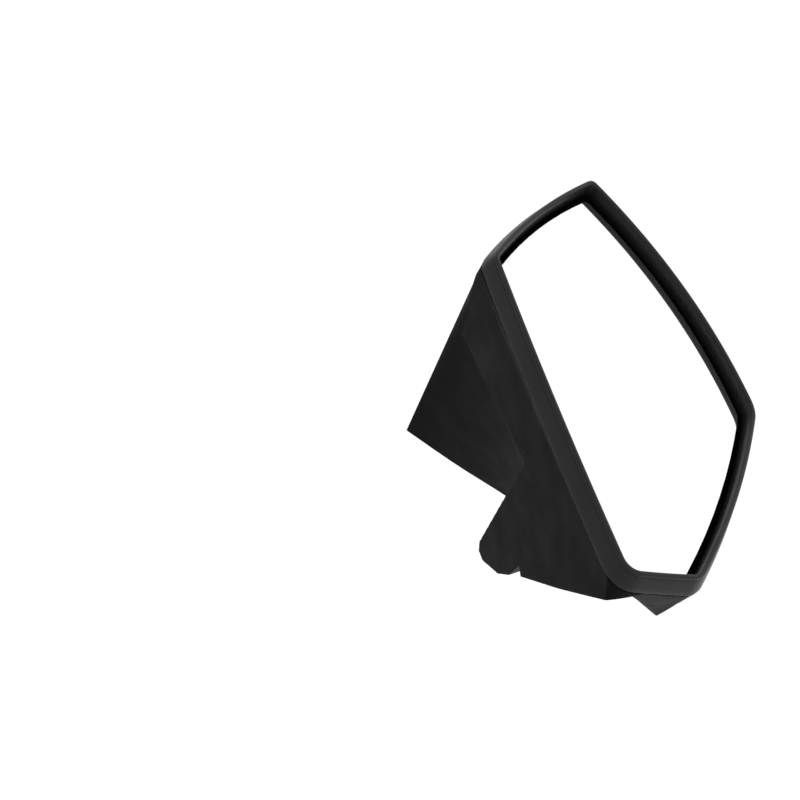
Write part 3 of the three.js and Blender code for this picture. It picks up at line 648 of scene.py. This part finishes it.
def far_slot():
    outer, inner, bottom = FAR_SLOT["outer"], FAR_SLOT["inner"], FAR_SLOT["bottom"]
    loops = []
    for t in np.linspace(FAR_SLOT["from"], FAR_SLOT["to"], 3):
        loops.append([far_point(t, 0, 0) + np.array([0, reach, -drop * FAR_THICK[0]])
                      for reach, drop in ((outer, -1), (outer, bottom), (inner, bottom), (inner, -1))])
    return loft(loops)


def clip_cutter(clip):
    w, h = clip["width"] / 2, clip["length"] / 2
    c, s = math.cos(clip["turn"]), math.sin(clip["turn"])
    x0, y0 = clip["at"]
    outline = [(x0 + c * x - s * y, y0 + s * x + c * y) for x, y in ((-w, -h), (w, -h), (w, h), (-w, h))]
    return prism(outline, clip["floor"], PRISM_HIGH)


def fixing_pad(fixing, whole):
    low = -SEAT_DEPTH - PAD["below"]
    length, width = (side + PAD["margin"] for side in fixing["seat"])
    pad = oblong_cutter(length, width, low, low + PAD["thick"], fixing["at"], fixing["axis"])
    return common(pad, copy_of(whole))


def housing():
    whole = housing_solid()
    pads = [fixing_pad(fixing, whole) for fixing in FIXINGS]
    shell = cut(whole, housing_hollow())
    for pad in pads:
        shell = join(shell, pad)
    for f in FIXINGS:
        shell = cut(shell, oblong_cutter(*f["seat"], -SEAT_DEPTH, CUT_TOP, f["at"], f["axis"]))
        shell = cut(shell, oblong_cutter(*f["hole"], HOLE_BOTTOM, CUT_TOP, f["at"], f["axis"]))
    for clip in CLIPS:
        shell = cut(shell, clip_cutter(clip))
    return cut(shell, far_slot())


# ---- finishing ------------------------------------------------------------------------------------
VOXEL = 0.6
SOFTEN_ROUNDS = 5


def soften(piece):
    """Rounds every edge the way a mould does."""
    remesh = piece.modifiers.new("even", "REMESH")
    remesh.mode = "VOXEL"
    remesh.voxel_size = VOXEL
    relax = piece.modifiers.new("round", "SMOOTH")
    relax.factor = 0.5
    relax.iterations = SOFTEN_ROUNDS
    return baked(piece)


def to_frame(piece, name):
    """Moves a scratch solid into the model's frame, in metres."""
    mesh = piece.data
    points = np.empty(len(mesh.vertices) * 3)
    mesh.vertices.foreach_get("co", points)
    mesh.vertices.foreach_set("co", ((points.reshape(-1, 3) - ARM_SEAT) * MM).ravel())
    mesh.shade_smooth()
    mesh.update()
    piece.name = name
    mesh.name = name
    return piece


def finish_piece(piece, name, node, material, body="head"):
    to_frame(piece, name)
    piece.data.materials.clear()
    piece.data.materials.append(material)
    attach(piece, body)
    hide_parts(node)


def arc(centre, radius, start, end, steps):
    angles = np.radians(np.linspace(start, end, steps))
    return [(centre[0] + radius * math.cos(a), centre[1] + radius * math.sin(a)) for a in angles]


def bezel_section():
    """(inset, depth) points of the ring: band, groove, rolled bead, inner wall and spigot."""
    band = [(-FLARE + 0.1, SEAM_Y), (-FLARE, SEAM_Y - 0.4), (-2.2, 7.6), (-1.05, 4.4), (-0.35, 2.9)]
    groove = [(-0.2, 2.6), (0.12, 2.42), (0.18, 2.2), (0.0, 1.95)]
    bead = arc((1.35, 1.4), 1.38, 200, 340, 12)
    inner = [(2.78, 1.75), (2.9, 2.4), (3.1, SPIGOT_Y)]
    back = [(-0.2, SPIGOT_Y), (-0.2, SEAM_Y)]
    return band + groove + bead + inner + back


def add_bezel(material):
    ring = swept_ring(bezel_section(), "rim")
    finish_piece(ring, "bezel_rim", "bezel_ring", material)


def add_shells(upper_material, arm_material):
    shell = housing()
    upper = cut(copy_of(shell), under_parting(PARTING_GAP))
    arm = common(shell, under_parting(-PARTING_GAP))
    finish_piece(soften(upper), "upper_housing", "upper_shell", upper_material)
    finish_piece(soften(arm), "arm_side_housing", "arm_side_shell", arm_material)


def dress_cad_nodes():
    steel = metal("zinc_steel", (0.45, 0.46, 0.48), (0.62, 0.63, 0.65), 0.34)
    brass = metal("turned_brass", (0.52, 0.38, 0.14), (0.68, 0.52, 0.22), 0.3, stretch=(1, 6, 1))
    black = moulded_plastic("carrier_black", (0.012, 0.012, 0.013), (0.022, 0.022, 0.023), 0.5)
    grey = moulded_plastic("case_grey", (0.07, 0.073, 0.078), (0.1, 0.104, 0.11), 0.5)
    white = moulded_plastic("drive_white", (0.62, 0.62, 0.58), (0.74, 0.74, 0.7), 0.35)
    looks = {
        "mirror_glass": mirror_material(), "heater_pad": foil_material(),
        "glass_carrier": black, "support_frame": black,
        "actuator_cover": grey, "actuator_base": grey, "pivot_post": grey,
        "gimbal_ring": white, "connector_socket": white,
        "tilt_gear": white, "turn_gear": white, "tilt_plunger": white, "turn_plunger": white,
        "tilt_worm": brass, "turn_worm": brass, "heater_terminal_1": brass, "heater_terminal_2": brass,
    }
    for name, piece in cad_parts.items():
        material = looks.get(name, steel)
        if not piece.material_slots:
            piece.data.materials.append(material)
        for slot in piece.material_slots:
            slot.material = material


scene.view_settings.view_transform = "Standard"
add_camera()
add_studio()
bezel_black = moulded_plastic("bezel_black", (0.019, 0.019, 0.0195),
                              (0.022, 0.022, 0.0225), 0.45, specular=0.3)
upper_black = moulded_plastic("housing_black", (0.022, 0.022, 0.0225), (0.025, 0.025, 0.0255), 0.46)
arm_black = moulded_plastic("arm_side_black", (0.006, 0.0061, 0.0065),
                            (0.007, 0.0071, 0.0075), 0.58, specular=0.05)
add_bezel(bezel_black)
add_shells(upper_black, arm_black)
dress_cad_nodes()
